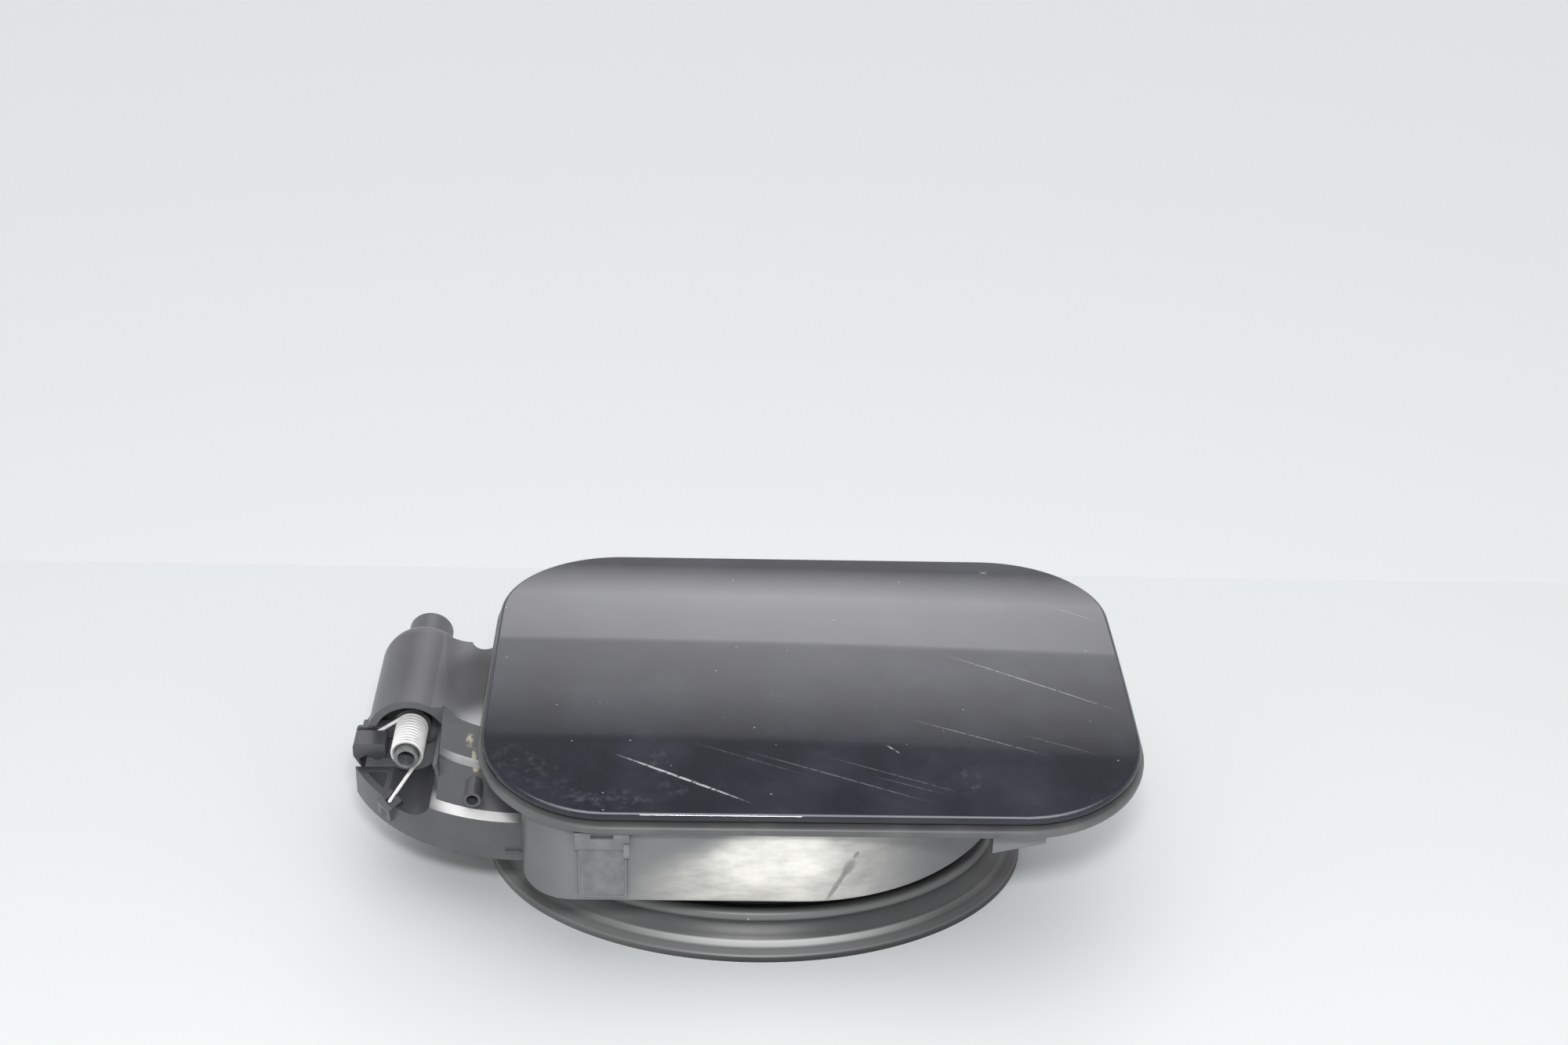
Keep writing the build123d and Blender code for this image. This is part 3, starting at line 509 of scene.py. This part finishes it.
# Screws and shaft clip
# Zinc-plated steel: pan-head screws up into the inner panel, and the ring that keeps the shaft from sliding
# out.
zinc, tree, shader, place = new_material("zinc_plated_steel")
spangle = noise(tree, place, 1.6, 5.0)
feed(tree, shader, {
    "Base Color": tint(tree, linear("#a3a4a2"), spangle, "#c9cac8"),
    "Roughness": spread(tree, spangle, 0.0, 1.0, 0.22, 0.42),
    "Metallic": 1.0,
})
for name in ("arm_screws", "striker_screws", "shaft_clip"):
    wear(nodes[name], zinc)


# Torsion spring
# Ten turns of spring wire under a thick white coating, one leg in the lever, one in the hook. The coating is
# a little soiled, and satin.
spring = bpy.data.objects.new("coiled_spring", nodes["torsion_spring"].data.copy())
bpy.context.scene.collection.objects.link(spring)
pick(spring)
bpy.ops.object.mode_set(mode="EDIT")
bpy.ops.mesh.select_all(action="SELECT")
bpy.ops.mesh.remove_doubles(threshold=0.001 * mm)
bpy.ops.object.mode_set(mode="OBJECT")
settle(spring, 50)
coating, tree, shader, place = new_material("white_coated_spring_wire")
soil = noise(tree, place, 5, 6.0, 0.6)
tone = tint(tree, linear("#ffffff"), spread(tree, soil, 0.5, 0.75, 0.0, 0.6), "#d2d1cd")
# Painted shade darkens the coil between its turns, nearer the hinge's axis
between = spread(tree, farness(tree, place, hinge, along_hinge), 5.1 * mm, 4.8 * mm, 0.0, 0.6)
tone = tint(tree, tone, between, "#6f6e6b")
feed(tree, shader, {"Base Color": tone, "Roughness": 0.38})
wear(spring, coating)
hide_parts("torsion_spring")
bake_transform(spring)


# Lid inner panel
# Moulded in black polypropylene and bonded behind the skin. Its edge shows under the skin's as a second thin
# bead.
panel_plastic, tree, shader, place = new_material("moulded_polypropylene_satin_black")
flow = noise(tree, place, 18, 6.0)
feed(tree, shader, {
    "Base Color": tint(tree, linear("#1e1f20"), flow, "#303132"),
    "Roughness": spread(tree, flow, 0.0, 1.0, 0.16, 0.34),
    "Normal": grain(tree, noise(tree, place, 0.8, 3.0), 0.04, 0.08),
})
wear(nodes["lid_inner_panel"], panel_plastic)


# Lid skin
# Pressed and painted: blue-black base coat under a clear coat, with dust, dried drops, wiping smears and the
# scratches of years of use.
paint, tree, shader, place = new_material("blue_black_clear_coated_paint")
haze = noise(tree, place, 24, 6.0, 0.6)
tone = tint(tree, linear("#1a1c26"), spread(tree, haze, 0.42, 0.74), "#30333f")
# Dried drops near the hinge corner, and two faint finger marks: centre, half sizes, lean and strength
crust = spread(tree, noise(tree, place, 3.5, 8.0, 0.72), 0.5, 0.72)
smears = [
    ((-66, -55), (22, 10), -38, 0.2), ((-42, -68), (20, 6), -6, 0.34), ((-26, -51.5), (3.4, 9), 0, 0.4),
    ((-21, -63), (6, 5), 0, 0.3), ((69, -57.6), (4, 8), 0, 0.4),
]
for (x, y), (long, short), lean, strength in smears:
    patch = mark(tree, place, (x, y, lid_top), (long, short, deep), (0, 0, radians(lean)))
    tone = tint(tree, tone, times(tree, patch, crust, strength), "#7d828c")
# A painted highlight lightens the turned edge along the front's straight
normal = add(tree, "ShaderNodeNewGeometry").outputs["Normal"]
facing = add(tree, "ShaderNodeSeparateXYZ", {"Vector": normal}).outputs
edge_start = spread(tree, facing["Y"], -0.3, -0.4)
edge_end = spread(tree, facing["Y"], -0.8, -0.65, 0.0, 0.55)
straight = spread(tree, reckon(tree, "ABSOLUTE", facing["X"]), 0.35, 0.1)
tone = tint(tree, tone, times(tree, edge_start, edge_end, straight), "#a3a8ae")
# Specks of dust
cells = add(tree, "ShaderNodeTexVoronoi", {"Vector": place, "Scale": 1 / (6.5 * mm)}).outputs
specks = spread(tree, cells["Distance"], 0.06, 0.03)
chosen = spread(tree, cells["Color"], 0.55, 0.6)
tone = tint(tree, tone, times(tree, specks, chosen), "#8f939c")
# Scratches, each from one end to the other, with its width and its strength
scratches = [
    ((-41.9, -46.0), (4.4, -71.0), 0.6, 1.0), ((62.4, 11.6), (122.7, -24.1), 0.3, 0.6),
    ((49.1, -26.5), (97.4, -47.2), 0.3, 0.36), ((-2.8, -43.7), (60.2, -70.4), 0.4, 0.2),
    ((44.0, -41.2), (48.4, -45.8), 0.4, 0.8), ((105.6, 41.8), (120.7, 31.4), 0.25, 0.35),
    ((82.0, 64.5), (87.0, 67.6), 0.3, 0.5), ((83.0, 67.8), (86.4, 64.2), 0.3, 0.5),
    ((-18.0, -40.0), (22.0, -58.0), 0.3, 0.12), ((22.0, -46.0), (70.0, -66.0), 0.35, 0.14),
    ((38.0, -56.0), (62.0, -65.5), 0.3, 0.14), ((84.0, -34.0), (112.0, -46.0), 0.25, 0.18),
]
ragged = spread(tree, noise(tree, place, 1.5, 3.0), 0.3, 0.5)
for (x0, y0), (x1, y1), width, strength in scratches:
    middle = ((x0 + x1) / 2, (y0 + y1) / 2, lid_top)
    reach = (hypot(x1 - x0, y1 - y0) / 2, width, deep)
    scratch = mark(tree, place, middle, reach, (0, 0, atan2(y1 - y0, x1 - x0)))
    tone = tint(tree, tone, times(tree, scratch, ragged, strength), "#b9bcc2")
feed(tree, shader, {
    "Base Color": tone,
    "Roughness": 0.5,
    "Specular IOR Level": 0.0,
    "Coat Weight": 1.0,
    "Coat Roughness": 0.02,
})
wear(nodes["lid_skin"], paint)


# Floor and backdrop, soft studio light and camera
# A pale floor with a white ground behind and below its edge, under an even light.
deselect()
floor_edge = 170 * mm
floor_size = 2.4
bpy.ops.mesh.primitive_plane_add(size=floor_size, location=(0, floor_edge - floor_size / 2, 0))
floor = bpy.context.object
floor.name = "floor"
table_top, tree, shader, place = new_material("pale_table_top")
feed(tree, shader, {"Base Color": linear("#e9eded"), "Roughness": 0.55})
wear(floor, table_top)

deselect()
backdrop_size = 3.0
backdrop_drop = 60 * mm
behind = (0, floor_edge + backdrop_size / 2, -backdrop_drop)
bpy.ops.mesh.primitive_plane_add(size=backdrop_size, location=behind)
backdrop = bpy.context.object
backdrop.name = "backdrop"
white, tree, shader, place = new_material("white_backdrop")
feed(tree, shader, {"Base Color": linear("#f4f5f7"), "Roughness": 0.9})
wear(backdrop, white)

# The room is a grey dome, brighter overhead and at the right; a window behind stands in the lid's far half
world = bpy.data.worlds.new("studio")
bpy.context.scene.world = world
world.use_nodes = True
tree = world.node_tree
sky = tree.nodes["Background"]
direction = add(tree, "ShaderNodeTexCoord").outputs["Generated"]
aim = add(tree, "ShaderNodeSeparateXYZ", {"Vector": direction}).outputs


def ramp(stops):
    """Light levels by the height of the direction, a little askew, as a ramp's colour."""
    askew = -0.035
    height = reckon(tree, "MULTIPLY_ADD", aim["X"], askew, aim["Z"])
    band = add(tree, "ShaderNodeValToRGB", {"Fac": height})
    points = band.color_ramp.elements
    while len(points) < len(stops):
        points.new(0.5)
    for point, (position, level) in zip(points, stops):
        point.position = position
        point.color = (level, level, level, 1)
    return band.outputs["Color"]


dome = ramp([
    (0.0, 0.9), (0.38, 0.9), (0.45, 0.68), (0.65, 0.5), (0.75, 0.42), (0.8, 0.42), (0.88, 1.1), (1.0, 1.2),
])
window = ramp([
    (0.0, 0.0), (0.375, 0.05), (0.43, 3.1), (0.504, 3.1), (0.509, 1.8), (0.545, 1.65), (0.585, 1.35),
    (0.62, 0.7), (0.638, 0.35), (0.642, 0.0),
])
window_x = 0.046
across = reckon(tree, "ABSOLUTE", reckon(tree, "SUBTRACT", aim["X"], window_x))
side = spread(tree, across, 0.0, 0.4, 1.0, 0.0, "SMOOTHSTEP")
ahead = spread(tree, aim["Y"], 0.0, 0.2)
window_inputs = {0: window, 3: times(tree, side, ahead)}
window = add(tree, "ShaderNodeVectorMath", window_inputs, operation="SCALE").outputs["Vector"]
slant = spread(tree, aim["X"], -1.0, 1.0, 0.92, 1.08)
dome = add(tree, "ShaderNodeVectorMath", {0: dome, 3: slant}, operation="SCALE").outputs["Vector"]
light = add(tree, "ShaderNodeVectorMath", {0: dome, 1: window}, operation="ADD").outputs["Vector"]
feed(tree, sky, {"Color": light, "Strength": 1.0})

key = bpy.data.lights.new("key", "AREA")
key.shape = "RECTANGLE"
key.size = 0.1
key.size_y = 0.08
key.energy = 3.0
key_light = bpy.data.objects.new("key", key)
bpy.context.scene.collection.objects.link(key_light)
key_light.location = (0.0, -0.606, 0.6)
key_target = Vector((0, 0, 0.04))
key_light.rotation_euler = (key_target - key_light.location).to_track_quat("-Z", "Y").to_euler()

camera_place = (-13.2 * mm, -634.8 * mm, 479.0 * mm)
camera_heading = -2.25
camera_dip = 29.53
camera_roll = 1.99
camera = bpy.data.cameras.new("camera")
camera.sensor_width = 36.0
camera.lens = 53.64
camera.clip_start = 0.05
viewer = bpy.data.objects.new("camera", camera)
bpy.context.scene.collection.objects.link(viewer)
turn = Euler((0, 0, radians(camera_heading))).to_matrix()
turn = turn @ Euler((radians(90 - camera_dip), 0, 0)).to_matrix()
turn = turn @ Euler((0, 0, radians(camera_roll))).to_matrix()
viewer.matrix_world = Matrix.Translation(camera_place) @ turn.to_4x4()
bpy.context.scene.camera = viewer
bpy.context.scene.view_settings.view_transform = "Standard"
